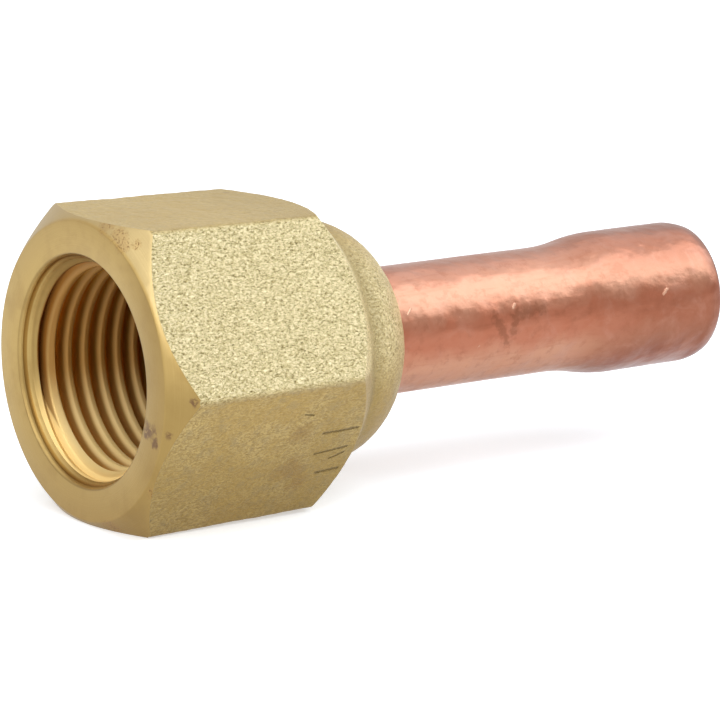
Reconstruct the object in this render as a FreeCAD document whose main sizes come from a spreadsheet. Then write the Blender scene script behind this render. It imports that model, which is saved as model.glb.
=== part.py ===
import FreeCAD, Part
import math
import os
import Sketcher

# Solder adapter: a forged brass flare nut held captive on a short copper tube.
# The common axis is X, from the mouth of the nut at X = 0 to the solder end of the tube.
# Z points up and the nut lies on one of its flats. Lengths are in millimetres, angles in degrees.

doc = FreeCAD.newDocument("solder_adapter")

# Driving dimensions

drivingSizes = {
    # hexagon of the nut, which narrows towards the tube by the draft of its forging
    "acrossFlats": 22,
    "draftAngle": 1,
    "hexLength": 17.5,
    "hexEdgeRound": 0.4,
    # the mouth face ends inside the flats, and chamfers cut the corners of the hexagon
    "faceInset": 0.3,
    "mouthChamferAngle": 43,
    "backChamferAngle": 45,
    # collar behind the hexagon: the neck's step in from the flats, and a narrow face round the hole
    "collarLength": 6.7,
    "neckStep": 1.65,
    "neckRound": 0.8,
    "collarArc": 5.6,
    "collarFaceWidth": 0.2,
    "holeChamfer": 0.25,
    # threaded bore, plain at the minor diameter of a 5/8-18 thread, behind a long countersink
    "countersinkWidth": 0.45,
    "countersinkSlope": 27,
    "threadDiameter": 15.9,
    "threadDepth": 0.75,
    "threadLength": 10.1,
    "reliefDepth": 0.05,
    "reliefWidth": 1.2,
    # tube, its fit in the nut, and its flare
    "tubeDiameter": 9.52,
    "tubeWall": 0.75,
    "runningClearance": 0.08,
    "seatGap": 0.2,
    "flareWidth": 1.84,
    "flareBend": 1.5,
    # solder end of the tube
    "tubeReach": 30.7,
    "socketClearance": 0.04,
    "socketWall": 0.63,
    "socketDepth": 8,
    "swellLength": 6.4,
    "rimRollLength": 1.5,
    "rimRollDepth": 0.32,
}
sheet = doc.addObject("Spreadsheet::Sheet", "sizes")
for row, (alias, number) in enumerate(drivingSizes.items(), start=1):
    sheet.set(f"A{row}", alias)
    sheet.set(f"B{row}", str(number))
    sheet.setAlias(f"B{row}", alias)
doc.recompute()

# Expressions that both pieces or several features share

# the run of a 45 degree slope along either axis, for each unit of its length
diagonal = "sin(45 deg)"
nutLength = "(sizes.hexLength + sizes.collarLength)"
tubeEnd = f"({nutLength} + sizes.tubeReach)"
tubeRadius = "(sizes.tubeDiameter / 2)"
holeRadius = f"({tubeRadius} + sizes.runningClearance)"
threadRadius = "(sizes.threadDiameter / 2)"
minorRadius = f"({threadRadius} - sizes.threadDepth)"
reliefRadius = f"({threadRadius} + sizes.reliefDepth)"
# the countersink narrows to the minor diameter, and the seat is a 45 degree cone
threadStart = "((sizes.countersinkWidth + sizes.threadDepth) / tan(sizes.countersinkSlope * 1 deg))"
threadEnd = f"({threadStart} + sizes.threadLength)"
seatMouth = f"({threadEnd} + sizes.reliefWidth)"
seatEnd = f"({seatMouth} + {reliefRadius} - {holeRadius})"
flareRoot = f"({seatEnd} - sizes.seatGap)"


# The present value of an expression on the sheet, as a plain number
def valueOf(expression):
    value = sheet.evalExpression(expression)
    return float(getattr(value, "Value", value))


def originPlane(body, role):
    return next(feature for feature in body.Origin.OriginFeatures if feature.Role == role)


# A sketch of a closed outline on the body's XZ plane. Each corner is (X, Z) or (X, Z, radius, turn):
# the last two make the stretch to the next corner an arc, which turns left (1) or right (-1).
def closedOutline(body, name, corners):
    sketch = body.newObject("Sketcher::SketchObject", name)
    sketch.AttachmentSupport = [(originPlane(body, "XZ_Plane"), "")]
    sketch.MapMode = "FlatFace"
    places = [FreeCAD.Vector(valueOf(corner[0]), valueOf(corner[1]), 0) for corner in corners]
    ends = []
    for index, corner in enumerate(corners):
        start = places[index]
        finish = places[(index + 1) % len(corners)]
        if len(corner) == 2:
            edge = sketch.addGeometry(Part.LineSegment(start, finish))
            ends.append((edge, 1, 2))
            continue
        radius = valueOf(corner[2])
        chord = finish - start
        rise = math.sqrt(max(radius**2 - (chord.Length / 2) ** 2, 0))
        side = FreeCAD.Vector(-chord.y, chord.x, 0).normalize() * rise * corner[3]
        centre = (start + finish) / 2 + side
        first, last = (start, finish) if corner[3] > 0 else (finish, start)
        angles = [math.atan2(point.y - centre.y, point.x - centre.x) for point in (first, last)]
        if angles[1] < angles[0]:
            angles[1] += 2 * math.pi
        circle = Part.Circle(centre, FreeCAD.Vector(0, 0, 1), radius)
        edge = sketch.addGeometry(Part.ArcOfCircle(circle, angles[0], angles[1]))
        ends.append((edge, 1, 2) if corner[3] > 0 else (edge, 2, 1))
        rule = sketch.addConstraint(Sketcher.Constraint("Radius", edge, radius))
        sketch.setExpression(f"Constraints[{rule}]", corner[2])
    for index, corner in enumerate(corners):
        edge, startVertex, _ = ends[index]
        before, _, finishVertex = ends[index - 1]
        sketch.addConstraint(Sketcher.Constraint("Coincident", before, finishVertex, edge, startVertex))
        for kind, expression, axis in (("DistanceX", corner[0], -2), ("DistanceY", corner[1], -1)):
            if expression == "0":
                sketch.addConstraint(Sketcher.Constraint("PointOnObject", edge, startVertex, axis))
                continue
            place = valueOf(expression)
            rule = sketch.addConstraint(Sketcher.Constraint(kind, -1, 1, edge, startVertex, place))
            sketch.setExpression(f"Constraints[{rule}]", expression)
    return sketch


def turned(body, name, sketch):
    feature = body.newObject("PartDesign::Revolution", name)
    feature.Profile = sketch
    feature.ReferenceAxis = (sketch, ["H_Axis"])
    feature.Angle = 360
    doc.recompute()
    return feature


# Flare nut

# The turned form: mouth face, corner chamfers, collar and bore, before the flats are forged
def nutForm(body):
    faceRadius = "(sizes.acrossFlats / 2 - sizes.faceInset)"
    cornerRadius = "(sizes.acrossFlats / 2 / cos(30 deg))"
    chamferDepth = f"(({cornerRadius} - {faceRadius}) * tan(sizes.mouthChamferAngle * 1 deg))"
    # half the distance across flats, where the back chamfer meets the middle of a flat
    backHalfFlats = "(sizes.acrossFlats / 2 - sizes.hexLength * tan(sizes.draftAngle * 1 deg))"
    backSlope = "tan(sizes.backChamferAngle * 1 deg)"
    backCorner = f"(sizes.hexLength - ({cornerRadius} - {backHalfFlats}) * {backSlope})"
    neckRadius = f"({backHalfFlats} - sizes.neckStep)"
    neckStart = f"(sizes.hexLength + sizes.neckStep * {backSlope})"
    # the neck's hollow arc starts up the chamfer by its run and ends on the collar
    neckRun = "(sizes.neckRound * tan((90 - sizes.backChamferAngle) / 2 * 1 deg))"
    corners = [
        ("0", faceRadius),
        ("0", f"{threadRadius} + sizes.countersinkWidth"),
        (threadStart, minorRadius),
        (threadEnd, minorRadius),
        (threadEnd, reliefRadius),
        (seatMouth, reliefRadius),
        (seatEnd, holeRadius),
        (f"{nutLength} - sizes.holeChamfer", holeRadius),
        (nutLength, f"{holeRadius} + sizes.holeChamfer"),
        (
            nutLength,
            f"{holeRadius} + sizes.holeChamfer + sizes.collarFaceWidth",
            "sizes.collarArc",
            1,
        ),
        (f"{neckStart} + {neckRun}", neckRadius, "sizes.neckRound", -1),
        (
            f"{neckStart} - {neckRun} * sin(sizes.backChamferAngle * 1 deg)",
            f"{neckRadius} + {neckRun} * cos(sizes.backChamferAngle * 1 deg)",
        ),
        (backCorner, cornerRadius),
        (chamferDepth, cornerRadius),
    ]
    return turned(body, "nut_form", closedOutline(body, "nut_section", corners))


# One flat, cut across the turned form and repeated six times round the axis
def hexFlats(body):
    reach = "sizes.acrossFlats"
    corners = [
        ("0", "sizes.acrossFlats / 2"),
        (nutLength, f"sizes.acrossFlats / 2 - {nutLength} * tan(sizes.draftAngle * 1 deg)"),
        (nutLength, reach),
        ("0", reach),
    ]
    cut = body.newObject("PartDesign::Pocket", "flat_cut")
    cut.Profile = closedOutline(body, "flat_section", corners)
    cut.Type = 0
    cut.Midplane = True
    cut.setExpression("Length", "sizes.acrossFlats * 2")
    doc.recompute()
    flats = body.newObject("PartDesign::PolarPattern", "six_flats")
    flats.Originals = [cut]
    flats.Axis = (originPlane(body, "X_Axis"), [""])
    flats.Angle = 360
    flats.Occurrences = 6
    body.Tip = flats
    doc.recompute()
    return flats


# The six edges where two flats meet, which run nearly along the axis outside the flats
def hexEdges(shape):
    inside = valueOf("sizes.acrossFlats / 2") * 1.05
    names = []
    for index, edge in enumerate(shape.Edges, start=1):
        ends = [vertex.Point for vertex in edge.Vertexes]
        straight = edge.Curve.TypeId == "Part::GeomLine" and len(ends) == 2
        if straight and all(math.hypot(end.y, end.z) > inside for end in ends):
            names.append(f"Edge{index}")
    return names


def makeFlareNut():
    body = doc.addObject("PartDesign::Body", "flare_nut")
    body.Label = "flare_nut"
    form = nutForm(body)
    flats = hexFlats(body)
    if flats.Shape.Volume >= form.Shape.Volume:
        raise RuntimeError("the flats cut nothing")
    edges = hexEdges(flats.Shape)
    if len(edges) != 6:
        raise RuntimeError(f"{len(edges)} hexagon edges found")
    rounding = body.newObject("PartDesign::Fillet", "hex_edge_round")
    rounding.Base = (flats, edges)
    rounding.setExpression("Radius", "sizes.hexEdgeRound")
    body.Tip = rounding
    body.Placement = FreeCAD.Placement()
    return body


# Copper tube

def makeSolderTube():
    body = doc.addObject("PartDesign::Body", "solder_tube")
    body.Label = "solder_tube"
    boreRadius = f"({tubeRadius} - sizes.tubeWall)"
    # the flare opens at 45 degrees in a wall of one thickness, bent round on the bore's side
    halfBend = "tan(22.5 deg)"
    innerRoot = f"({flareRoot} - sizes.tubeWall * {halfBend})"
    bendRun = f"(sizes.flareBend * {halfBend})"
    lipRadius = f"({tubeRadius} + sizes.flareWidth)"
    lipStart = f"({flareRoot} - sizes.flareWidth)"
    # the socket takes the plain end of another tube, and the cutter has rolled its rim inwards
    socketRadius = f"({tubeRadius} + sizes.socketClearance)"
    endRadius = f"({socketRadius} + sizes.socketWall)"
    # the swell is an S of two equal arcs, outside and inside
    socketStart = f"({tubeEnd} - sizes.socketDepth)"
    swellStart = f"({socketStart} - sizes.swellLength)"
    swellMiddle = f"({socketStart} - sizes.swellLength / 2)"
    outerRise = f"({endRadius} - {tubeRadius})"
    innerRise = f"({socketRadius} - {boreRadius})"
    outerArc = f"(sizes.swellLength * sizes.swellLength / {outerRise} + {outerRise}) / 4"
    innerArc = f"(sizes.swellLength * sizes.swellLength / {innerRise} + {innerRise}) / 4"
    corners = [
        (flareRoot, tubeRadius),
        (swellStart, tubeRadius, outerArc, 1),
        (swellMiddle, f"({tubeRadius} + {endRadius}) / 2", outerArc, -1),
        (socketStart, endRadius),
        (f"{tubeEnd} - sizes.rimRollLength", endRadius),
        (tubeEnd, f"{endRadius} - sizes.rimRollDepth"),
        (tubeEnd, socketRadius),
        (socketStart, socketRadius, innerArc, 1),
        (swellMiddle, f"({boreRadius} + {socketRadius}) / 2", innerArc, -1),
        (swellStart, boreRadius),
        (f"{innerRoot} + {bendRun}", boreRadius, "sizes.flareBend", -1),
        (f"{innerRoot} - {bendRun} * {diagonal}", f"{boreRadius} + {bendRun} * {diagonal}"),
        (f"{lipStart} - sizes.tubeWall * {diagonal}", f"{lipRadius} - sizes.tubeWall * {diagonal}"),
        (lipStart, lipRadius),
    ]
    turned(body, "tube_form", closedOutline(body, "tube_section", corners))
    body.Placement = FreeCAD.Placement()
    return body


# Build, test and write

pieces = [makeFlareNut(), makeSolderTube()]
doc.recompute()
for feature in doc.Objects:
    if "Invalid" in feature.State or "Error" in feature.State:
        raise RuntimeError(f"{feature.Name} failed: {feature.State}")
os.makedirs("parts", exist_ok=True)
for piece in pieces:
    if piece.Shape.isNull() or not piece.Shape.isValid() or len(piece.Shape.Solids) != 1:
        raise RuntimeError(f"{piece.Label} has no single valid solid")
    piece.Shape.exportStep(f"parts/{piece.Label}.step")
    box = piece.Shape.optimalBoundingBox(False, False)
    print(
        f"{piece.Label}: {piece.Shape.Volume:.1f} mm3, X {box.XMin:.2f} to {box.XMax:.2f},"
        f" Y {box.YMin:.2f} to {box.YMax:.2f}, Z {box.ZMin:.2f} to {box.ZMax:.2f}"
    )
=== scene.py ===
import functools
import math

import bmesh
import bpy
from mathutils import Matrix, Quaternion, Vector, noise


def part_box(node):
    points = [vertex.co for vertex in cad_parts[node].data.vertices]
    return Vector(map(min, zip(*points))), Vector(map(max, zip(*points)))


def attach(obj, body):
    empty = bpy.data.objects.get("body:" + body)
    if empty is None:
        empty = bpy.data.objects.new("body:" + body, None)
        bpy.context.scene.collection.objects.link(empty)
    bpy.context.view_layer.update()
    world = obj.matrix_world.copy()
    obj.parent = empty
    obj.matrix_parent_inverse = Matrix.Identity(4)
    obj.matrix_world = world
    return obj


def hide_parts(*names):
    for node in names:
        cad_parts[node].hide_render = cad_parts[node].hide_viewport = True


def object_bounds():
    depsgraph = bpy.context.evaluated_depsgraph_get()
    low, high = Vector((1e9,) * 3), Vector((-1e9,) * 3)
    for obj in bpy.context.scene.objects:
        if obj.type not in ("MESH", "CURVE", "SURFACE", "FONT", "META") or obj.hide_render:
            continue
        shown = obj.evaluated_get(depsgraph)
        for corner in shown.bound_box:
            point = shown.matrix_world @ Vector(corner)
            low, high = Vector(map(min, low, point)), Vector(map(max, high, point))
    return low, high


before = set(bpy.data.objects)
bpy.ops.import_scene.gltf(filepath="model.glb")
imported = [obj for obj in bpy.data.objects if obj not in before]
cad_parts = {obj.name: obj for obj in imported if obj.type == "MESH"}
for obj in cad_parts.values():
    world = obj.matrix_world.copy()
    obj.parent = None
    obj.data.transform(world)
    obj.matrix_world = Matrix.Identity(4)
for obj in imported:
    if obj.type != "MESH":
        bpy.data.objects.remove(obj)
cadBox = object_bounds()
mm = 0.001
fullTurn = 2 * math.pi
slope45 = math.radians(45)
halfSide = math.radians(30)  # half of what one side of a hexagon spans, seen from its centre
touching = 1e-8  # metres between points that are one
smoothAngle = math.radians(40)  # edges that turn by more than this are drawn sharp
left, right = 1, -1  # ways that an arc turns
print("frame loaded:", sorted(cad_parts))


def rgb(red, green, blue):
    return (red, green, blue, 1)


# Shader wiring: a number that varies over the surface, with its maths written as plain sums
class Wire:
    def __init__(self, tree, socket=None):
        self.tree = tree
        self.socket = socket

    # any node: its type, its settings, and what goes into its sockets
    def node(self, kind, settings=None, inputs=None, output=0):
        made = self.tree.nodes.new("ShaderNode" + kind)
        for name, value in (settings or {}).items():
            if name == "stops":
                ramp = made.color_ramp
                while len(ramp.elements) < len(value):
                    ramp.elements.new(1)
                for element, (position, colour) in zip(ramp.elements, value):
                    element.position = position
                    element.color = colour
            else:
                setattr(made, name, value)
        for name, value in (inputs or {}).items():
            self.join(value, made.inputs[name])
        return Wire(self.tree, made.outputs[output])

    def join(self, value, socket):
        if isinstance(value, Wire):
            self.tree.links.new(value.socket, socket)
        else:
            socket.default_value = value

    def blend(self, share, first, second):
        return self.node("Mix", {"data_type": "RGBA"}, {0: share, 6: first, 7: second}, 2)

    # lays tints over a colour in the order given, each with its strength and where its mask is 1
    def tinted(self, colour, tints, **masks):
        for name, mask in masks.items():
            strength, over = tints[name]
            colour = self.blend(mask * strength, colour, over)
        return colour

    def maths(self, operation, first, second=0.0):
        return self.node("Math", {"operation": operation}, {0: first, 1: second})

    def highest(self, *values):
        return functools.reduce(lambda first, second: self.maths("MAXIMUM", first, second), values)

    # 1 where the camera looks at it, straight or by a mirror or through glass
    def cameraSees(self):
        kinds = ("Camera", "Glossy", "Transmission")
        return self.highest(*[self.node("LightPath", output=f"Is {kind} Ray") for kind in kinds])

    def __add__(self, other):
        return self.maths("ADD", self, other)

    def __radd__(self, other):
        return self.maths("ADD", other, self)

    def __sub__(self, other):
        return self.maths("SUBTRACT", self, other)

    def __rsub__(self, other):
        return self.maths("SUBTRACT", other, self)

    def __neg__(self):
        return 0 - self

    def __mul__(self, other):
        return self.maths("MULTIPLY", self, other)

    def __rmul__(self, other):
        return self.maths("MULTIPLY", other, self)

    def __truediv__(self, other):
        return self.maths("DIVIDE", self, other)

    def __pow__(self, other):
        return self.maths("POWER", self, other)

    def __abs__(self):
        return self.maths("ABSOLUTE", self)

    # 0 up to low, 1 from high on, and smooth between
    def rise(self, low, high):
        limits = {"Value": self, "From Min": low, "From Max": high}
        return self.node("MapRange", {"interpolation_type": "SMOOTHSTEP"}, limits)


# The start of every finish: places on the piece in millimetres, and the principled shader
class Finish(Wire):
    def __init__(self, name):
        self.material = bpy.data.materials.new(name)
        self.material.use_nodes = True
        super().__init__(self.material.node_tree)
        self.shader = self.tree.nodes["Principled BSDF"]
        metres = self.node("TexCoord", output="Object")
        self.place = self.vector("SCALE", metres, Scale=1 / mm)
        self.along = self.part("X", self.place)
        self.side = self.part("Y", self.place)
        self.height = self.part("Z", self.place)
        self.radius = (self.side * self.side + self.height * self.height) ** 0.5

    def part(self, name, vector):
        return self.node("SeparateXYZ", None, {0: vector}, name)

    def point(self, x=0.0, y=0.0, z=0.0):
        return self.node("CombineXYZ", None, {"X": x, "Y": y, "Z": z})

    def vector(self, operation, first, second=None, output=0, **more):
        inputs = {0: first, **more}
        if second is not None:
            inputs[1] = second
        return self.node("VectorMath", {"operation": operation}, inputs, output)

    # soft clouds of a size in millimetres, from 0 to 1
    def cloud(self, size, detail, roughness=0.5, where=None, warp=0.0):
        inputs = {"Scale": 1 / size, "Detail": detail, "Roughness": roughness, "Distortion": warp}
        return self.node("TexNoise", None, {"Vector": where or self.place, **inputs})

    # 1 on spots of the surface, each a centre and a radius, and 0 beyond their frayed outlines
    def spots(self, places, frayed):
        marks = []
        for centre, radius in places:
            reach = self.vector("DISTANCE", self.place, centre, output="Value")
            reach = reach + (self.cloud(radius, 3.0) - 0.5) * (2 * frayed * radius)
            marks.append(1 - reach.rise(radius * 0.4, radius))
        return self.highest(*marks)

    # the same along straight scratches, each a start, an end and half a width
    def scratches(self, places, frayed):
        marks = []
        for start, end, width in places:
            way = Vector(end) - Vector(start)
            away = self.vector("SUBTRACT", self.place, start)
            share = self.vector("DOT_PRODUCT", away, tuple(way / way.length_squared), output="Value")
            share = self.maths("MINIMUM", self.highest(share, 0.0), 1.0)
            nearest = self.vector("SCALE", tuple(way), Scale=share)
            reach = self.vector("DISTANCE", away, nearest, output="Value")
            reach = reach + (self.cloud(width * 0.7, 3.0) - 0.5) * (2 * frayed * width)
            marks.append(1 - reach.rise(width * 0.2, width))
        return self.highest(*marks)

    # relief that is as many millimetres high where it is 1
    def bump(self, relief, high):
        return self.node("Bump", None, {"Height": relief, "Distance": high * mm, "Strength": 1.0})

    def made(self, **sockets):
        for name, value in sockets.items():
            self.join(value, self.shader.inputs[name.replace("_", " ")])
        return self.material


# Modelling steps that both pieces use

# points along an arc of some pieces from start to finish, which turns left or right
def arc(start, finish, radius, way, pieces):
    start, finish = Vector(start), Vector(finish)
    chord = finish - start
    rise = math.sqrt(radius**2 - (chord.length / 2) ** 2)
    centre = (start + finish) / 2 + Vector((-chord.y, chord.x)).normalized() * rise * way
    sweep = (start - centre).angle(finish - centre) * way
    turns = [Matrix.Rotation(sweep * index / pieces, 2) for index in range(pieces + 1)]
    return [tuple(centre + turn @ (start - centre)) for turn in turns]


# a section of (along, radius) in millimetres, turned once about the axis while it advances along it
def turnSection(bm, section, region, steps, advance=0.0):
    mark = bm.faces.layers.int["region"]
    before = set(bm.faces)
    verts = [bm.verts.new((along * mm, 0, radius * mm)) for along, radius in section]
    edges = [bm.edges.new(pair) for pair in zip(verts, verts[1:])]
    bmesh.ops.spin(
        bm,
        geom=verts + edges,
        cent=(0, 0, 0),
        axis=(1, 0, 0),
        dvec=(advance * mm / steps, 0, 0),
        angle=fullTurn,
        steps=steps,
        use_merge=advance == 0,
    )
    for face in set(bm.faces) - before:
        face[mark] = region


# grid lines across the faces of some regions, cut one after another on what lies beyond the last
def sliceFaces(bm, regions, direction, places):
    mark = bm.faces.layers.int["region"]
    beyond = [face for face in bm.faces if face[mark] in regions]
    for place in places:
        limit = place * mm
        reached = {face for face in beyond if min(vert.co.dot(direction) for vert in face.verts) < limit}
        edges = {edge for face in reached for edge in face.edges}
        verts = {vert for face in reached for vert in face.verts}
        cut = bmesh.ops.bisect_plane(
            bm,
            geom=[*verts, *edges, *reached],
            dist=touching,
            plane_co=direction * limit,
            plane_no=direction,
        )["geom"]
        beyond = [face for face in beyond if face not in reached]
        faces = [item for item in cut if isinstance(item, bmesh.types.BMFace)]
        beyond += [face for face in faces if face.calc_center_median().dot(direction) > limit]


# places between start and finish, about a step apart
def spread(start, finish, step):
    count = max(2, round((finish - start) / step))
    return [start + (finish - start) * index / count for index in range(1, count)]


# soft hollows from 0 to 1 over a piece, of a size in millimetres and half that, laid out by a seed
def hollow(place, size, seed, middle=0.5, swing=0.5):
    scaled = place / (size * mm) + Vector((seed, seed * 0.7, seed * 1.3))
    return min(max(middle + swing * noise.fractal(scaled, 1.0, 2.0, 2), 0), 1)


# the piece's mesh and object, which rides on its body and stands in for its node
def finishPiece(bm, name, body, node, materials):
    bmesh.ops.recalc_face_normals(bm, faces=bm.faces)
    mesh = bpy.data.meshes.new(name)
    bm.to_mesh(mesh)
    bm.free()
    for material in materials:
        mesh.materials.append(material)
    mesh.shade_smooth()
    mesh.set_sharp_from_angle(angle=smoothAngle)
    piece = bpy.data.objects.new(name, mesh)
    bpy.context.scene.collection.objects.link(piece)
    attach(piece, body)
    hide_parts(node)
    print(name, "has", sum(len(polygon.vertices) - 2 for polygon in mesh.polygons), "triangles")


# Flare nut, in millimetres and degrees, along X from its mouth

nut = {
    "acrossFlats": 22.0,
    "draft": 1.0,  # each flat leans in towards the tube
    "hexLength": 17.5,
    "faceInset": 0.3,  # the mouth face ends this far inside the flats
    "mouthChamfer": 43.0,  # from the mouth face
    "cornerRound": 0.4,
    "edgeBreak": 0.07,  # worn edges between the flats and the chamfers
    "sharpEdge": 22.0,  # edges that turn by more than this are worn
    "sliver": 0.02,  # what the flats leave narrower than this is closed up
    "collarLength": 6.7,
    "neckStep": 1.65,
    "neckRound": 0.8,
    "collarArc": 5.6,
    "collarFace": 0.2,
    "hole": 4.84,
    "holeChamfer": 0.25,
    "countersinkWidth": 0.45,  # the countersink opens this much wider than the thread
    "countersinkSlope": 27.0,  # from the axis
    "toolMark": 0.47,  # a fine groove that the cutter left round the countersink
    "toolMarkWidth": 0.32,
    "toolMarkDepth": 0.04,
    "threadMajor": 7.95,
    "threadMinor": 7.2,
    "threadPitch": 25.4 / 18,
    "threadFlank": 30.0,
    "threadLength": 10.1,
    "threadStart": -0.92,  # where the first root would be at the top of the bore
    "threadPoints": 20,  # points of the section in each pitch
    "threadSliver": 0.002,
    "reliefRadius": 8.0,
    "reliefWidth": 1.2,
    "steps": 144,
    "cell": 0.21,  # spacing of the grid on the forged skin
    "hammered": 0.05,  # depth of the broad unevenness of the forging, and its size
    "hammeredSize": 3.2,
    "grain": 0.04,  # the same for its coarse grain
    "grainSize": 0.75,
    "grimeOnFace": [  # centre and radius of each
        ((0, -8.8, -2.4), 0.85),
        ((0, -9.4, -3.2), 0.6),
        ((0.2, -10.9, -2.5), 0.4),
        ((1.4, -12.2, 0), 0.4),
    ],
    "pitsOnChamfer": [
        ((0.4, -4.1, 10.3), 0.9),
        ((0.3, -5.0, 9.9), 0.8),
        ((0.4, -2.6, 10.7), 0.9),
        ((0.9, -5.8, 10.0), 0.5),
        ((0.5, -8.6, -7.2), 0.8),
        ((0.5, -3.5, -10.6), 0.9),
    ],
    "spotsOnFlats": [
        ((15.3, 4.4, 10.7), 0.32),
        ((12.1, -8.4, -7.1), 1.6),
        ((13.4, -7.9, -8.2), 1.1),
        ((11.9, -10.1, -3.9), 1.3),
    ],
    "toolScratches": [  # start, end and half the width of each
        ((14.0, -9.93, -4.23), (17.0, -9.91, -4.16), 0.15),
        ((11.6, -11.07, -2.33), (12.4, -10.96, -2.49), 0.1),
        ((13.95, -8.95, -5.92), (16.7, -9.05, -5.66), 0.13),
        ((15.45, -8.59, -6.5), (16.6, -8.78, -6.12), 0.11),
        ((14.76, -7.97, -7.59), (16.64, -8.02, -7.45), 0.15),
    ],
    "clouds": {  # size, detail and roughness of each
        "forgedGrain": (0.15, 3.0, 0.6),
        "forgedFine": (0.1, 2.0, 0.5),
        "forgedBroad": (4.5, 3.0, 0.55),
        "forgedLumps": (0.9, 2.0, 0.5),
        "rings": (0.09, 3.0, 0.6),
        "handled": (2.5, 3.0, 0.6),
        "turnedFine": (0.2, 2.0, 0.5),
        "speckle": (0.15, 2.0, 0.6),
        "grime": (0.4, 3.0, 0.6),
        "wornLand": (0.3, 2.0, 0.5),
        "boreBroad": (1.5, 3.0, 0.6),
    },
    "grainSquash": 0.6,  # squashes the places along the nut, which makes the grain longer there
    "blastStart": (-0.5, 0.4, 2.5),  # where the blast begins and is full, and how much softer behind the flat
    "blastEnd": (-0.4, 0.2, 3.5),
    "fades": {  # where each begins and where it is full, in millimetres or in the values of its cloud
        "grain": (0.35, 0.65),
        "tarnish": (0.42, 0.62),
        "lumps": (0.5, 0.7),
        "underside": (0.0, 9.0),
        "towardsNeck": (8.0, 16.0),
        "handled": (0.45, 0.7),
        "speckle": (0.53, 0.64),
        "grime": (0.28, 0.5),
        "dullSide": (4.0, 9.5),
        "dullBelow": (0.0, 8.0),
        "upperChamfer": (2.0, 7.0),
        "lowerChamfer": (-2.5, 0.5),
        "offLip": (0.02, 0.09),
        "lowInBore": (1.0, 6.0),
        "insideBore": (1.5, 2.2),
        "deepIn": (4.0, 12.0),
        "pastFirst": (1.8, 2.6),
        "pastLand": (1.2, 1.3),
        "inRoot": (0.2, 0.7),
        "onCrest": (0.18, 0.31),  # in turns
        "wornLand": (0.45, 0.6),
    },
    "smoothShades": (rgb(0.28, 0.185, 0.062), rgb(0.50, 0.36, 0.14)),  # between the grains, and on them
    "blastedShades": [  # from the pits of the blasted flat up to its peaks, paler than the rest of the skin as painted highlight
        (0.34, rgb(0.20, 0.145, 0.05)),
        (0.43, rgb(0.46, 0.37, 0.17)),
        (0.52, rgb(0.67, 0.55, 0.30)),
        (0.64, rgb(0.88, 0.74, 0.45)),
    ],
    "forgedTints": {  # strength and colour of each
        "tarnish": (0.5, rgb(0.36, 0.23, 0.062)),
        "lumps": (0.35, rgb(0.29, 0.22, 0.11)),
        # painted light: the top flat is coloured paler
        "topFlat": (0.4, rgb(0.54, 0.395, 0.145)),
        # painted shade: darker towards the bottom
        "underside": (0.3, rgb(0.21, 0.14, 0.04)),
        "towardsNeck": (0.15, rgb(0.16, 0.11, 0.035)),
        # painted shade in the neck between the flats and the collar
        "neck": (0.4, rgb(0.26, 0.185, 0.07)),
        "spots": (0.45, rgb(0.23, 0.13, 0.035)),
        "scratches": (0.85, rgb(0.115, 0.07, 0.015)),
    },
    "turnedShades": (rgb(0.41, 0.265, 0.088), rgb(0.51, 0.355, 0.13)),  # in and between the cutter's rings
    "turnedTints": {
        "handled": (0.45, rgb(0.35, 0.22, 0.075)),
        # painted shade on the face, towards one side and below
        "dullFace": (0.6, rgb(0.28, 0.175, 0.055)),
        # painted light: paler on the upper chamfer
        "upperChamfer": (0.6, rgb(0.46, 0.35, 0.175)),
        # painted shade: darker on the lower chamfer
        "lowerChamfer": (0.6, rgb(0.24, 0.15, 0.045)),
        "pitted": (0.35, rgb(0.38, 0.215, 0.07)),
        "speckle": (0.7, rgb(0.19, 0.09, 0.03)),
        "grime": (0.75, rgb(0.12, 0.055, 0.035)),
        # painted shade in the tool mark's shallow groove
        "toolMark": (0.85, rgb(0.24, 0.12, 0.02)),
        "lip": (0.4, rgb(0.20, 0.13, 0.05)),
    },
    "flankShades": (rgb(0.27, 0.115, 0.018), rgb(0.62, 0.29, 0.035)),  # painted shade and reflection of the grooves: near the crest, and in the root
    # painted shade: the first flank in from the mouth is coloured darkest
    "firstFlank": rgb(0.18, 0.065, 0.009),
    "threadTints": {
        # painted light: paler along the bottom of the bore
        "lowFlank": (0.4, rgb(0.72, 0.44, 0.14)),
        "lowFirst": (0.7, rgb(0.60, 0.36, 0.11)),
        # painted shade: darker deeper into the bore
        "deepIn": (0.35, rgb(0.10, 0.035, 0.004)),
        "wornLand": (0.45, rgb(0.25, 0.16, 0.05)),
        "crest": (1.0, rgb(0.44, 0.215, 0.042)),
        "lowCrest": (1.0, rgb(0.95, 0.68, 0.27)),
    },
}
forged, turned, bored, flats = 0, 1, 2, 10  # regions of the nut's skin, the flats from 10 on


# how far in the countersink narrows to a radius
def sinkDepth(radius):
    opening = nut["threadMajor"] + nut["countersinkWidth"]
    return (opening - radius) / math.tan(math.radians(nut["countersinkSlope"]))


# the countersink's radius so far in
def sinkRadius(depth):
    opening = nut["threadMajor"] + nut["countersinkWidth"]
    return opening - depth * math.tan(math.radians(nut["countersinkSlope"]))


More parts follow.
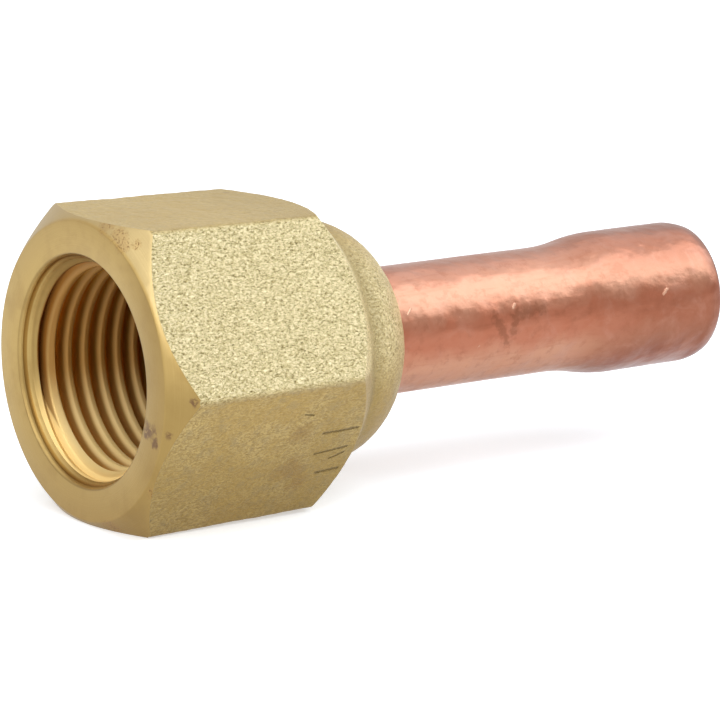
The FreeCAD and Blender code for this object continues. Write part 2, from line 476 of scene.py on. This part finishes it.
# the nut's turned mouth, its forged outside to the back, and its bore from the back to the thread
def nutSections():
    halfFlats = nut["acrossFlats"] / 2
    corner = halfFlats / math.cos(halfSide)
    face = halfFlats - nut["faceInset"]
    chamferDepth = (corner - face) * math.tan(math.radians(nut["mouthChamfer"]))
    backFlats = halfFlats - nut["hexLength"] * math.tan(math.radians(nut["draft"]))
    neck = backFlats - nut["neckStep"]
    neckStart = nut["hexLength"] + nut["neckStep"]
    run = nut["neckRound"] * math.tan(slope45 / 2)
    slope = run * math.sin(slope45)
    length = nut["hexLength"] + nut["collarLength"]
    lip = nut["hole"] + nut["holeChamfer"]
    threadEnd = sinkDepth(nut["threadMinor"]) + nut["threadLength"]
    seatMouth = threadEnd + nut["reliefWidth"]
    groove = [  # across the tool mark, from its inner edge out
        (nut["toolMark"] + share * nut["toolMarkWidth"], deep * nut["toolMarkDepth"])
        for share, deep in ((0.5, 0), (0.2, 1), (-0.2, 1), (-0.5, 0))
    ]
    mouth = [
        (sinkDepth(nut["threadMajor"]), nut["threadMajor"]),
        *[(along, sinkRadius(along) + deep) for along, deep in groove],
        (0, sinkRadius(0)),
        (0, face),
        (chamferDepth, corner),
    ]
    neckEnd = (neckStart + run, neck)
    back = [
        (chamferDepth, corner),
        (nut["hexLength"] - corner + backFlats, corner),
        *arc((neckStart - slope, neck + slope), neckEnd, nut["neckRound"], left, 5),
        *arc(neckEnd, (length, lip + nut["collarFace"]), nut["collarArc"], right, 18)[1:],
        (length, lip),
    ]
    bore = [
        (length, lip),
        (length - nut["holeChamfer"], nut["hole"]),
        (seatMouth + nut["reliefRadius"] - nut["hole"], nut["hole"]),
        (seatMouth, nut["reliefRadius"]),
        (threadEnd, nut["reliefRadius"]),
    ]
    return mouth, back, bore


# the six flats, each cut across the turned form and closed with one face
def cutFlats(bm):
    mark = bm.faces.layers.int["region"]
    lean = math.radians(nut["draft"])
    for index in range(6):
        around = Matrix.Rotation(fullTurn * index / 6, 3, "X")
        cut = bmesh.ops.bisect_plane(
            bm,
            geom=[*bm.verts, *bm.edges, *bm.faces],
            dist=touching,
            plane_co=around @ Vector((0, 0, nut["acrossFlats"] / 2 * mm)),
            plane_no=around @ Vector((math.sin(lean), 0, math.cos(lean))),
            clear_outer=True,
        )["geom_cut"]
        rim = [item for item in cut if isinstance(item, bmesh.types.BMEdge)]
        for face in bmesh.ops.edgeloop_fill(bm, edges=rim)["faces"]:
            face[mark] = flats + index
    bmesh.ops.remove_doubles(bm, verts=bm.verts, dist=nut["sliver"] * mm)


# the corners between the flats are rounded, and the edges at both their ends are worn
def softenEdges(bm):
    mark = bm.faces.layers.int["region"]
    corners = [
        edge
        for edge in bm.edges
        if len(edge.link_faces) == 2 and all(face[mark] >= flats for face in edge.link_faces)
    ]
    offset = nut["cornerRound"] * math.tan(halfSide)
    bevel = {"affect": "EDGES", "profile": 0.5, "material": -1}
    bmesh.ops.bevel(bm, geom=corners, offset=offset * mm, segments=4, **bevel)
    outsideBore = nut["threadMajor"] + 0.1
    rims = [
        edge
        for edge in bm.edges
        if len(edge.link_faces) == 2
        and edge.calc_face_angle() > math.radians(nut["sharpEdge"])
        and min(vert.co.yz.length for vert in edge.verts) > outsideBore * mm
    ]
    bmesh.ops.bevel(bm, geom=rims, offset=nut["edgeBreak"] * mm, segments=2, **bevel)


# grid lines over the forged skin, along each flat and round the collar
def gridSkin(bm):
    length = nut["hexLength"] + nut["collarLength"]
    regions = {forged, turned, *range(flats, flats + 6)}
    sliceFaces(bm, regions, Vector((1, 0, 0)), spread(nut["faceInset"], length, nut["cell"]))
    side = nut["acrossFlats"] / 2 * math.tan(halfSide)
    for index in range(6):
        around = Matrix.Rotation(fullTurn * index / 6, 3, "X")
        across = around @ Vector((0, 1, 0))
        sliceFaces(bm, {flats + index}, across, spread(-side, side, nut["cell"]))


# the forged skin sinks in by its uneven die and coarse grain, and its worked edges stay where they are
def roughenSkin(bm):
    mark = bm.faces.layers.int["region"]
    bm.normal_update()
    moves = []
    for vert in bm.verts:
        if any(face[mark] in (turned, bored) for face in vert.link_faces):
            continue
        broad = hollow(vert.co, nut["hammeredSize"], seed=4.0)
        coarse = hollow(vert.co, nut["grainSize"], seed=9.0)
        depth = nut["hammered"] * broad + nut["grain"] * coarse
        moves.append((vert, vert.normal * (depth * mm)))
    for vert, move in moves:
        vert.co -= move


# the right-hand thread, wound one pitch a turn from before the bore and then trimmed to its ends
def cutThread(bm):
    pitch, points = nut["threadPitch"], nut["threadPoints"]
    minor, major = nut["threadMinor"], nut["threadMajor"]
    depth = major - minor
    flank = depth * math.tan(math.radians(nut["threadFlank"]))
    crest = pitch / 2 - pitch / 16 - flank  # half the flat crest, where half the flat root is a sixteenth
    firstRoot, threadEnd = sinkDepth(major), sinkDepth(minor) + nut["threadLength"]
    start = nut["threadStart"]
    section = []
    for index in range(points + 1):
        share = index / points
        fromCrest = abs(share - 0.5) * pitch
        rise = min(max((fromCrest - crest) / flank, 0), 1)
        section.append((start + share * pitch, minor + depth * rise))
    thread = bmesh.new()
    thread.faces.layers.int.new("region")
    turnSection(thread, section, bored, nut["steps"], pitch)
    oneTurn = [*thread.verts, *thread.edges, *thread.faces]
    for index in range(1, math.ceil((threadEnd - start) / pitch)):
        copied = bmesh.ops.duplicate(thread, geom=oneTurn)["geom"]
        verts = [item for item in copied if isinstance(item, bmesh.types.BMVert)]
        bmesh.ops.translate(thread, verts=verts, vec=(index * pitch * mm, 0, 0))
    bmesh.ops.remove_doubles(thread, verts=thread.verts, dist=touching)
    spare = [
        face
        for face in thread.faces
        if max(vert.co.x for vert in face.verts) < firstRoot * mm
        or min(vert.co.x for vert in face.verts) > threadEnd * mm
    ]
    bmesh.ops.delete(thread, geom=spare, context="FACES")
    for vert in thread.verts:
        along, radius = vert.co.x / mm, vert.co.yz.length / mm
        if along >= threadEnd:
            along, reach = threadEnd, nut["reliefRadius"]
        else:
            along = max(along, firstRoot)
            reach = max(radius, sinkRadius(along))
        vert.co = Vector((along * mm, *(vert.co.yz * (reach / radius))))
    mesh = bpy.data.meshes.new("thread")
    thread.to_mesh(mesh)
    thread.free()
    bm.from_mesh(mesh)
    bpy.data.meshes.remove(mesh)
    bmesh.ops.remove_doubles(bm, verts=bm.verts, dist=nut["threadSliver"] * mm)
    bmesh.ops.dissolve_degenerate(bm, edges=bm.edges, dist=nut["threadSliver"] * mm)


def makeNut():
    bm = bmesh.new()
    mark = bm.faces.layers.int.new("region")
    mouth, back, bore = nutSections()
    turnSection(bm, mouth, turned, nut["steps"])
    turnSection(bm, back, forged, nut["steps"])
    turnSection(bm, bore, bored, nut["steps"])
    bmesh.ops.remove_doubles(bm, verts=bm.verts, dist=touching)
    bmesh.ops.recalc_face_normals(bm, faces=bm.faces)
    print("nut turned")
    cutFlats(bm)
    softenEdges(bm)
    print("flats cut and edges worn")
    gridSkin(bm)
    bmesh.ops.recalc_face_normals(bm, faces=bm.faces)
    roughenSkin(bm)
    print("forged skin roughened")
    cutThread(bm)
    print("thread cut")
    for face in bm.faces:
        face.material_index = face[mark] if face[mark] < flats else forged
    materials = [forgedBrass(), turnedBrass(), threadBrass()]
    finishPiece(bm, "nut_skin", "flare_nut", "flare_nut", materials)


# the skin of the forging, which is smooth but for one blasted flat and the collar behind it; the blasted flat
# is coloured paler as painted highlight over its real grain, the top flat paler as painted light, and the
# underside and the neck darker as painted shade
def forgedBrass():
    finish = Finish("forged_brass")
    clouds, fades = nut["clouds"], nut["fades"]
    neck = nut["hexLength"]
    collar = neck + nut["neckStep"]
    halfFlats = nut["acrossFlats"] / 2
    stretched = finish.vector("MULTIPLY", finish.place, (nut["grainSquash"], 1, 1))
    grain = finish.cloud(*clouds["forgedGrain"], stretched, warp=0.6)
    fine = finish.cloud(*clouds["forgedFine"], stretched)
    broad = finish.cloud(*clouds["forgedBroad"])
    lump = finish.cloud(*clouds["forgedLumps"])
    scratched = finish.scratches(nut["toolScratches"], frayed=0.9)
    # painted shade in the neck between the flats and the collar
    onNeck = finish.along.rise(neck + 0.1, neck + 0.9) * (1 - finish.along.rise(collar + 0.25, collar + 1.25))

    # the blasted flat starts and ends at a corner, and behind it, on the collar, it fades out past them
    behind = finish.along.rise(neck - 0.1, neck + 1.3)

    def blastEdge(across, low, high, softer):
        return across.rise(low - behind * softer, behind * softer + high)

    pastCorner = finish.side + finish.height * math.tan(halfSide)
    blasted = blastEdge(finish.height, *nut["blastStart"]) * (1 - blastEdge(pastCorner, *nut["blastEnd"]))
    blasted = blasted * (1 - behind * 0.3)

    grained = grain * 0.75 + fine * 0.25
    smooth = finish.tinted(
        finish.blend(grained.rise(*fades["grain"]), *nut["smoothShades"]),
        nut["forgedTints"],
        tarnish=broad.rise(*fades["tarnish"]),
        lumps=lump.rise(*fades["lumps"]),
        # painted light, paler on the top flat
        topFlat=finish.height.rise(halfFlats - 3.0, halfFlats - 0.6),
        # painted shade, darker towards the bottom
        underside=(-finish.height).rise(*fades["underside"]),
        towardsNeck=finish.along.rise(*fades["towardsNeck"]),
    )
    # painted highlight: the blasted flat takes paler colours than the smooth skin
    coarse = finish.node("ValToRGB", {"stops": nut["blastedShades"]}, {"Fac": grained})
    colour = finish.tinted(
        finish.blend(blasted, smooth, coarse),
        nut["forgedTints"],
        # painted shade in the neck
        neck=onNeck,
        spots=finish.spots(nut["spotsOnFlats"], frayed=0.9),
        scratches=scratched,
    )
    roughness = 0.38 - blasted * 0.1 + fine * 0.1
    depth = blasted * 0.34 + 0.07  # of the grain, which is faint but on the blasted flat
    relief = (grain + fine * 0.3) * depth + lump * 0.12 - scratched * 0.12
    return finish.made(Base_Color=colour, Metallic=0.92, Roughness=roughness, Normal=finish.bump(relief, 1.0))


# the fine rings that the cutter left, which run round the axis on the face and in the bore
def cutterRings(finish):
    return finish.cloud(*nut["clouds"]["rings"], finish.point(finish.radius, finish.along * 0.7))


# turned brass takes its rings from the cutter and its clouds from handling
def turnedColour(finish, rings):
    handled = finish.cloud(*nut["clouds"]["handled"]).rise(*nut["fades"]["handled"])
    return finish.tinted(finish.blend(rings, *nut["turnedShades"]), nut["turnedTints"], handled=handled)


# the mouth: its face, chamfer and countersink, with the grime and pits of use; painted shade on the face
# towards one side and below, on the lower chamfer and in the tool mark, and painted light on the upper
# chamfer
def turnedBrass():
    finish = Finish("turned_brass")
    clouds, fades = nut["clouds"], nut["fades"]
    lip = sinkRadius(0)
    face = nut["acrossFlats"] / 2 - nut["faceInset"]
    markWidth = nut["toolMarkWidth"]
    depthBelow = -finish.height
    rings = cutterRings(finish)
    fine = finish.cloud(*clouds["turnedFine"])
    pitted = finish.spots(nut["pitsOnChamfer"], frayed=0.8)
    speckle = finish.cloud(*clouds["speckle"]).rise(*fades["speckle"]) * pitted
    grime = finish.spots(nut["grimeOnFace"], frayed=1.0)
    grime = grime * finish.cloud(*clouds["grime"]).rise(*fades["grime"])
    # painted shade in the tool mark's groove
    inMark = 1 - abs(finish.along - nut["toolMark"]).rise(markWidth * 0.3, markWidth * 0.55)
    onFace = 1 - finish.radius.rise(face - 0.1, face + 0.1)
    onChamfer = finish.radius.rise(face + 0.05, face + 0.25)
    # painted shade on the face, towards one side and below
    dull = finish.highest((-finish.side).rise(*fades["dullSide"]), depthBelow.rise(*fades["dullBelow"]) * 0.6)
    colour = finish.tinted(
        turnedColour(finish, rings),
        nut["turnedTints"],
        dullFace=dull * onFace,
        # painted light on the upper chamfer
        upperChamfer=onChamfer * finish.height.rise(*fades["upperChamfer"]),
        # painted shade on the lower chamfer
        lowerChamfer=depthBelow.rise(*fades["lowerChamfer"]) * (1 - onFace),
        pitted=pitted,
        speckle=speckle,
        grime=grime,
        toolMark=inMark * (1 - finish.radius.rise(lip, lip + 0.2)),
        lip=1 - abs(finish.radius - lip).rise(*fades["offLip"]),
    )
    normal = finish.bump(rings * 0.7 + fine * 0.3 - speckle, 0.02)
    return finish.made(Base_Color=colour, Metallic=0.95, Roughness=0.34 + fine * 0.1, Normal=normal)


# the bore, dark in its roots as painted shade and reflection, darker deeper in as painted shade, paler on its
# crests and palest along its bottom as painted light
def threadBrass():
    finish = Finish("thread_brass")
    clouds, fades, tints = nut["clouds"], nut["fades"], nut["threadTints"]
    rings = cutterRings(finish)
    broad = finish.cloud(*clouds["boreBroad"])
    # painted light: flanks, crests and land are coloured paler along the bottom of the bore
    low = (-finish.height).rise(*fades["lowInBore"])
    inside = finish.along.rise(*fades["insideBore"])

    # turns from the middle of the nearest root, which is 0.5 in the middle of a crest
    wound = (finish.along - nut["threadStart"]) / nut["threadPitch"]
    wound = wound + finish.maths("ARCTAN2", finish.side, finish.height) / fullTurn
    fromRoot = abs(finish.maths("FRACT", wound + 0.5) - 0.5)

    inRoot = (finish.radius - nut["threadMinor"]).rise(*fades["inRoot"])
    # the flank colours are painted shade and reflection of the grooves
    flank = finish.tinted(finish.blend(inRoot, *nut["flankShades"]), tints, lowFlank=low)
    first = finish.tinted(nut["firstFlank"], tints, lowFirst=low)
    flank = finish.blend(finish.along.rise(*fades["pastFirst"]), first, flank)
    # painted shade, darker deeper into the bore
    flank = finish.tinted(flank, tints, deepIn=finish.along.rise(*fades["deepIn"]))
    worn = finish.cloud(*clouds["wornLand"], finish.point(finish.radius, finish.along * 0.3))
    worn = worn.rise(*fades["wornLand"])
    crest = finish.tinted(turnedColour(finish, rings), tints, wornLand=worn, crest=inside, lowCrest=low)
    # the land reaches further in along the bottom, as painted light
    onLand = 1 - (finish.along - low * 0.45).rise(*fades["pastLand"])  # before the first turn
    onCrest = finish.highest(fromRoot.rise(*fades["onCrest"]), onLand)
    colour = finish.blend(onCrest, flank, crest)
    metallic = 0.95 - onCrest * inside * 0.65 - low * 0.25
    roughness = 0.32 + onCrest * 0.2 + broad * 0.06
    normal = finish.bump(broad, 0.01)
    return finish.made(Base_Color=colour, Metallic=metallic, Roughness=roughness, Normal=normal)


# Copper tube, in millimetres

tube = {
    "radius": 4.76,
    "wall": 0.75,
    "socketRadius": 4.80,
    "endRadius": 5.43,
    "socketDepth": 8.0,
    "swell": 6.4,
    "rollLength": 1.5,  # the cutter has rolled the rim inwards
    "rollDepth": 0.32,
    "rimRound": 0.12,
    "flareRoot": 16.61,
    "flareWidth": 1.84,
    "flareBend": 1.5,
    "steps": 144,
    "cell": 0.4,
    "waviness": 0.03,  # depth of the waves in its skin, and their size
    "wavinessSize": 5.0,
    "dents": 0.022,  # the same for its dents
    "dentSize": 1.5,
    "unevenFade": 3.0,  # waves and dents grow over this length from the nut
    "stains": [  # start, end and half the width of each; the first two a stain, the last painted shade under the highlight
        ((33.3, -4.6, 1.1), (34.5, -4.7, -1.0), 0.5),
        ((34.9, -4.7, -0.2), (35.3, -4.7, 0.5), 0.5),
        # painted shade along the lower edge of the highlight
        ((35.2, -4.6, 1.0), (37.8, -4.6, 1.3), 0.6),
    ],
    "nicks": [
        ((25.5, -4.3, 2.1), (25.9, -4.1, 2.5), 0.12),
        ((35.1, -4.5, 1.6), (35.3, -4.4, 1.8), 0.17),
        ((49.0, -5.3, 1.3), (49.4, -5.2, 1.6), 0.18),
        ((39.8, -5.0, 1.4), (40.1, -4.9, 1.7), 0.1),
        ((44.3, -5.3, 1.4), (44.7, -5.2, 1.5), 0.1),
        ((31.6, -4.7, -1.2), (31.9, -4.7, -0.9), 0.1),
    ],
    "clouds": {  # size, detail and roughness of each
        "streaks": (0.5, 3.0, 0.6),
        "broad": (3.0, 3.0, 0.6),
        "waves": (3.2, 0.0, 0.5),
        "dents": (1.1, 1.0, 0.4),
        "fine": (0.25, 3.0, 0.6),
        "mottle": (0.9, 4.0, 0.7),
        "patches": (2.2, 4.0, 0.65),
    },
    "streakSquash": 0.12,  # squashes the places along the tube, which makes the streaks longer
    "fades": {  # where each begins and where it is full, in millimetres or in the values of its cloud
        "farEnd": (38.0, 52.0),
        "paleBandStart": (0.2, 1.4),
        "paleBandEnd": (2.6, 4.2),
        "under": (0.0, 4.0),
        "underEnd": (40.0, 46.0),
        "broad": (0.4, 0.7),
        "streaks": (0.5, 0.8),
        "mottle": (0.5, 0.66),
        "patches": (0.48, 0.72),
    },
    "shades": [  # painted shade and light, from the bottom of the tube up to its top
        (0.22, rgb(0.47, 0.23, 0.14)),
        (0.40, rgb(0.37, 0.125, 0.069)),
        (0.55, rgb(0.36, 0.12, 0.066)),
        (0.72, rgb(0.38, 0.192, 0.12)),
        (0.93, rgb(0.41, 0.18, 0.115)),
    ],
    "tints": {  # strength and colour of each
        # darker towards the far end, less so in a band along the upper side that keeps a painted highlight
        "farEnd": (1.0, rgb(0.21, 0.068, 0.035)),
        # painted shade: darker under the far end
        "underEnd": (0.75, rgb(0.165, 0.038, 0.018)),
        # painted shade on the rolled rim
        "rim": (0.4, rgb(0.15, 0.045, 0.025)),
        "broad": (0.25, rgb(0.43, 0.19, 0.12)),
        "streaks": (0.3, rgb(0.28, 0.09, 0.045)),
        "mottle": (0.3, rgb(0.25, 0.085, 0.045)),
        "patches": (0.3, rgb(0.43, 0.21, 0.145)),
        # a stain, and painted shade under the highlight
        "stains": (0.5, rgb(0.17, 0.06, 0.03)),
        "nicks": (0.6, rgb(0.70, 0.42, 0.28)),
    },
}


# the tube's outside, from its flare to the rim, and its inside back to the flare
def tubeSection():
    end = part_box("solder_tube")[1].x / mm
    radius, wall, socketRadius = tube["radius"], tube["wall"], tube["socketRadius"]
    bore = radius - wall
    socket = end - tube["socketDepth"]
    start = socket - tube["swell"]
    middle = socket - tube["swell"] / 2
    riseOut = tube["endRadius"] - radius
    riseIn = socketRadius - bore
    arcOut = (tube["swell"] ** 2 / riseOut + riseOut) / 4
    arcIn = (tube["swell"] ** 2 / riseIn + riseIn) / 4
    midOut = (middle, radius + riseOut / 2)
    midIn = (middle, bore + riseIn / 2)
    root, width = tube["flareRoot"], tube["flareWidth"]
    innerRoot = root - wall * math.tan(slope45 / 2)
    run = tube["flareBend"] * math.tan(slope45 / 2)
    bendEnd = (innerRoot - run * math.sin(slope45), bore + run * math.sin(slope45))
    lip = (root - width, radius + width)
    innerLip = (lip[0] - wall * math.sin(slope45), lip[1] - wall * math.sin(slope45))
    rim, roll, rolled = tube["rimRound"], tube["rollLength"], tube["endRadius"] - tube["rollDepth"]
    rollArc = (roll**2 + tube["rollDepth"] ** 2) / (2 * tube["rollDepth"])
    outside = [
        innerLip,
        lip,
        (root, radius),
        *arc((start, radius), midOut, arcOut, left, 8),
        *arc(midOut, (socket, tube["endRadius"]), arcOut, right, 8)[1:],
        *arc((end - roll, tube["endRadius"]), (end - rim / 2, rolled + rim / 2), rollArc, right, 8),
        (end, rolled - rim / 3),
        *arc((end, socketRadius + rim), (end - rim, socketRadius), rim, right, 3),
    ]
    inside = [
        (end - rim, socketRadius),
        *arc((socket, socketRadius), midIn, arcIn, left, 8),
        *arc(midIn, (start, bore), arcIn, right, 8)[1:],
        *arc((innerRoot + run, bore), bendEnd, tube["flareBend"], right, 6),
        innerLip,
    ]
    return outside, inside


def makeTube():
    bm = bmesh.new()
    bm.faces.layers.int.new("region")
    outside, inside = tubeSection()
    turnSection(bm, outside, 0, tube["steps"])
    turnSection(bm, inside, 1, tube["steps"])
    bmesh.ops.remove_doubles(bm, verts=bm.verts, dist=touching)
    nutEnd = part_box("flare_nut")[1].x / mm
    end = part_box("solder_tube")[1].x / mm
    gridded = spread(nutEnd - 0.4, end - 0.3, tube["cell"])  # from just inside the nut to the rim
    sliceFaces(bm, {0}, Vector((1, 0, 0)), gridded)
    bmesh.ops.recalc_face_normals(bm, faces=bm.faces)
    bm.normal_update()
    print("tube turned")
    outer = tube["radius"] - 0.1  # what lies further out is its outside
    for vert in bm.verts:
        along = vert.co.x / mm
        if along > nutEnd and vert.co.yz.length > outer * mm:
            fade = min((along - nutEnd) / tube["unevenFade"], 1)
            wave = hollow(vert.co, tube["wavinessSize"], seed=2.0)
            dent = hollow(vert.co, tube["dentSize"], seed=6.0, middle=-0.1, swing=1.0)
            vert.co -= vert.normal * ((tube["waviness"] * wave + tube["dents"] * dent) * fade * mm)
    finishPiece(bm, "tube_skin", "solder_tube", "solder_tube", [drawnCopper()])


# drawn copper, handled and dented, coloured by height as painted shade and light, which darkens towards the
# end that is soldered, with painted shade under that end and on its rim
def drawnCopper():
    finish = Finish("drawn_copper")
    clouds, fades = tube["clouds"], tube["fades"]
    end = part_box("solder_tube")[1].x / mm
    drawn = finish.vector("MULTIPLY", finish.place, (tube["streakSquash"], 1, 1))
    streaks = finish.cloud(*clouds["streaks"], drawn)
    broad = finish.cloud(*clouds["broad"])
    waves = finish.cloud(*clouds["waves"])
    dents = finish.cloud(*clouds["dents"])
    fine = finish.cloud(*clouds["fine"])
    mottle = finish.cloud(*clouds["mottle"])
    patches = finish.cloud(*clouds["patches"], warp=0.6)
    nicked = finish.scratches(tube["nicks"], frayed=0.6)
    # painted shade and light by height, with some random variation
    upward = finish.height * 0.1 + 0.45 + (broad - 0.5) * 0.3
    # painted highlight: a band along the upper side where the far end darkens less
    paleBand = finish.height.rise(*fades["paleBandStart"]) - finish.height.rise(*fades["paleBandEnd"])
    # painted shade under the far end
    under = (-finish.height).rise(*fades["under"])
    colour = finish.tinted(
        finish.node("ValToRGB", {"stops": tube["shades"]}, {"Fac": upward}),
        tube["tints"],
        farEnd=finish.along.rise(*fades["farEnd"]) * (0.62 - paleBand * 0.42),
        underEnd=under * finish.along.rise(*fades["underEnd"]),
        # painted shade on the rolled rim
        rim=finish.along.rise(end - 1.9, end - 0.5),
        broad=broad.rise(*fades["broad"]),
        streaks=streaks.rise(*fades["streaks"]),
        mottle=mottle.rise(*fades["mottle"]),
        patches=patches.rise(*fades["patches"]),
        stains=finish.scratches(tube["stains"], frayed=1.2),
        nicks=nicked,
    )
    relief = waves * 0.25 + dents * 0.08 + mottle * 0.02 + fine * 0.01 + streaks * 0.008 + nicked * 0.03
    normal = finish.bump(relief, 1.0)
    return finish.made(Base_Color=colour, Metallic=0.95, Roughness=0.27 + fine * 0.1, Normal=normal)


# Studio, in millimetres and degrees

studio = {
    "azimuth": -36.364,  # of the camera, round the part and above the floor
    "elevation": 12.543,
    "roll": 1.055,
    "distance": 320.83,
    "aim": (24.388, 0, -1.993),
    "lens": 217.635,
    "sensor": 36,
    "clipStart": 10,
    "lampAim": (20, 0, 0),
    "lamps": {  # place, sides, watts and colour of each
        "key": ((223, -130, 254), (520, 240), 1.1, (0.88, 1.0, 1.12)),
        "fill": ((223, 74, 275), (300, 240), 0.2, (0.92, 1.0, 1.08)),
        "left": ((-127, 0, 318), (330, 330), 0.44, (0.9, 1.0, 1.12)),
        "front": ((-232, -147, 192), (200, 200), 0.3, (0.95, 1.0, 1.06)),
    },
    "floorSize": 4000,
    "floorWhite": 0.8,
    "floorGlow": 0.52,
    "roomGrey": 0.35,
}


def setCamera():
    azimuth, elevation = math.radians(studio["azimuth"]), math.radians(studio["elevation"])
    level = math.cos(elevation)
    back = Vector((math.sin(azimuth) * level, -math.cos(azimuth) * level, math.sin(elevation)))
    camera = bpy.data.objects.new("camera", bpy.data.cameras.new("camera"))
    camera.data.lens = studio["lens"]
    camera.data.sensor_width = studio["sensor"]
    camera.data.clip_start = studio["clipStart"] * mm
    camera.location = (Vector(studio["aim"]) + back * studio["distance"]) * mm
    camera.rotation_mode = "QUATERNION"
    roll = Quaternion((0, 0, 1), math.radians(studio["roll"]))
    camera.rotation_quaternion = (-back).to_track_quat("-Z", "Y") @ roll
    bpy.context.scene.collection.objects.link(camera)
    bpy.context.scene.camera = camera
    bpy.context.scene.view_settings.view_transform = "Standard"


# a grey room that lights the part softly and looks white
def lightRoom():
    world = bpy.data.worlds.new("room")
    world.use_nodes = True
    room = Wire(world.node_tree)
    grey = studio["roomGrey"]
    colour = room.blend(room.cameraSees(), rgb(grey, grey, grey), rgb(1, 1, 1))
    room.join(colour, world.node_tree.nodes["Background"].inputs["Color"])
    bpy.context.scene.world = world


# a soft box that faces the part, with its first side as near along the part as it can be
def addLamp(name, place, sides, watts, colour):
    lamp = bpy.data.lights.new(name, "AREA")
    lamp.shape = "RECTANGLE"
    lamp.size, lamp.size_y = sides[0] * mm, sides[1] * mm
    lamp.energy = watts
    lamp.color = colour
    light = bpy.data.objects.new(name, lamp)
    back = (Vector(place) - Vector(studio["lampAim"])).normalized()
    up = back.cross(Vector((1, 0, 0))).normalized()
    turn = Matrix((up.cross(back), up, back)).transposed()
    light.matrix_world = Matrix.Translation(Vector(place) * mm) @ turn.to_4x4()
    bpy.context.scene.collection.objects.link(light)


# a pale floor that glows only where the camera looks, so that it is white and still takes a shadow
def layFloor():
    bm = bmesh.new()
    bmesh.ops.create_grid(bm, x_segments=1, y_segments=1, size=studio["floorSize"] / 2 * mm)
    bmesh.ops.translate(bm, verts=bm.verts, vec=(0, 0, cadBox[0].z))
    mesh = bpy.data.meshes.new("floor")
    bm.to_mesh(mesh)
    bm.free()
    floor = bpy.data.objects.new("floor", mesh)
    bpy.context.scene.collection.objects.link(floor)
    paint = Finish("floor_paint")
    glow = paint.blend(paint.cameraSees(), rgb(0, 0, 0), rgb(1, 1, 1))
    white = studio["floorWhite"]
    shine = {"Emission_Color": glow, "Emission_Strength": studio["floorGlow"]}
    matt = {"Roughness": 1.0, "Specular_IOR_Level": 0.0}
    mesh.materials.append(paint.made(Base_Color=rgb(white, white, white), **matt, **shine))


makeNut()
makeTube()
setCamera()
lightRoom()
for name, lamp in studio["lamps"].items():
    addLamp(name, *lamp)
print("camera and lamps set")
layFloor()
print("floor laid")
